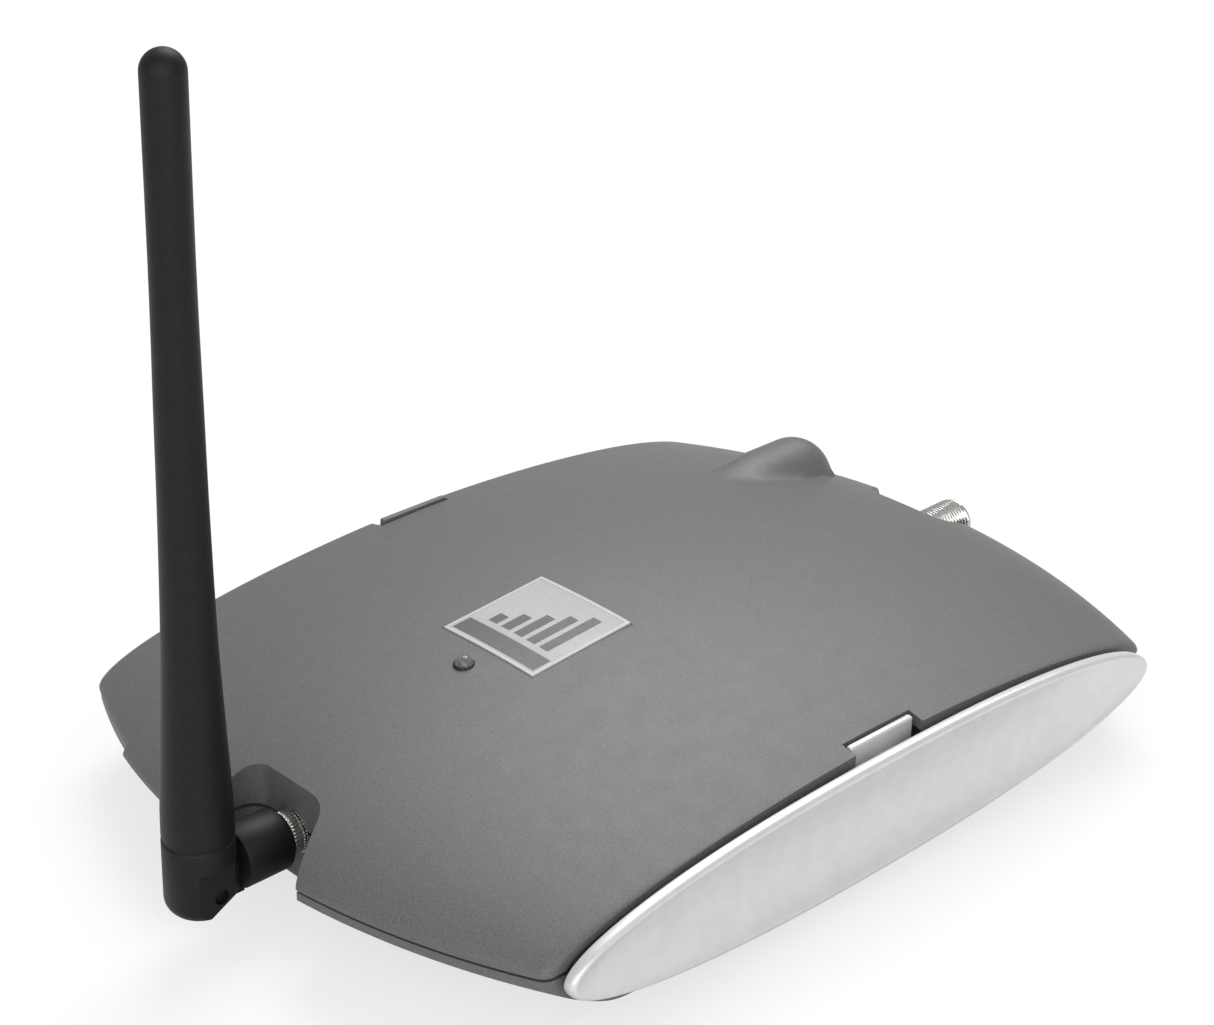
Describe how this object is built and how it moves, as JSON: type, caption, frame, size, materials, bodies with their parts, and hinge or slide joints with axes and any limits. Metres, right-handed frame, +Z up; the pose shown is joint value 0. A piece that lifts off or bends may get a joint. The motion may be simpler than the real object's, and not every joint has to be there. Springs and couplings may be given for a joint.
{
  "type": "cellular signal booster",
  "caption": "Desktop cellular signal booster: grey bowed two-part case, silver end plates, fold-down whip antenna on a swivelling elbow, threaded coax port.",
  "frame": {"origin": "on the resting plane, under the middle of the case", "axes": "+Z up; the antenna is on the -Y edge, the coax port on the +Y edge; the silver end plates face +X and -X"},
  "size_m": [0.1304, 0.2009, 0.1559],
  "materials": {
    "case_grey": "fine sparkle texture, satin",
    "satin_silver": "satin metallic silver",
    "badge_foil": "satin foil",
    "lamp_clear": "clear",
    "lamp_amber": "gloss",
    "board_green": "lacquered",
    "chip_black": "matte",
    "can_tin": "tinned",
    "filter_ceramic": "silvered",
    "pad_pink": "soft",
    "spreader_aluminium": "mill",
    "contact_gold": "gold plated",
    "insulator_white": "waxy",
    "nickel_steel": "nickel plated",
    "foot_rubber": "matte",
    "label_white": "satin",
    "antenna_black": "satin",
    "radiator_brass": "plain"
  },
  "bodies": {
    "case": {"top_shell": "case_grey", "bottom_shell": "case_grey", "end_plate_front": "satin_silver", "end_plate_back": "satin_silver", "latch_tab_front": "satin_silver", "latch_tab_back": "case_grey", "badge_plate": "badge_foil", "lamp_lens": "lamp_clear", "lamp_emitter": "lamp_amber", "circuit_board": "board_green", "amplifier_chips": "chip_black", "shield_can_uplink": "can_tin", "shield_can_downlink": "can_tin", "band_filters": "filter_ceramic", "power_parts": "chip_black", "thermal_pad": "pad_pink", "heat_spreader": "spreader_aluminium", "antenna_jack": "nickel_steel", "antenna_jack_insulator": "insulator_white", "antenna_jack_contact": "contact_gold", "antenna_jack_nut": "nickel_steel", "coax_port": "nickel_steel", "coax_port_insulator": "insulator_white", "coax_port_contact": "contact_gold", "coax_port_nut": "nickel_steel", "power_inlet": "chip_black", "power_inlet_pin": "nickel_steel", "board_screws": "nickel_steel", "case_screws": "nickel_steel", "rubber_feet": "foot_rubber", "rating_label": "label_white"},
    "nut": {"coupling_nut": "nickel_steel"},
    "elbow": {"antenna_elbow": "antenna_black", "antenna_plug": "contact_gold", "hinge_pin": "antenna_black"},
    "whip": {"antenna_whip": "antenna_black", "antenna_radiator": "radiator_brass"}
  },
  "joints": [
    {"name": "coupling_nut_spin", "type": "hinge", "parent": "case", "child": "nut", "pos_m": [0, -0.0815, 0.0147], "axis": [0, 1, 0], "continuous": true},
    {"name": "antenna_swivel", "type": "hinge", "parent": "case", "child": "elbow", "pos_m": [0, -0.0875, 0.0147], "axis": [0, 1, 0], "range_deg": [-92, 88]},
    {"name": "antenna_tilt", "type": "hinge", "parent": "elbow", "child": "whip", "pos_m": [-0.00009, -0.09745, 0.0122], "axis": [0.9994, 0, -0.0349], "range_deg": [0, 90]}
  ]
}
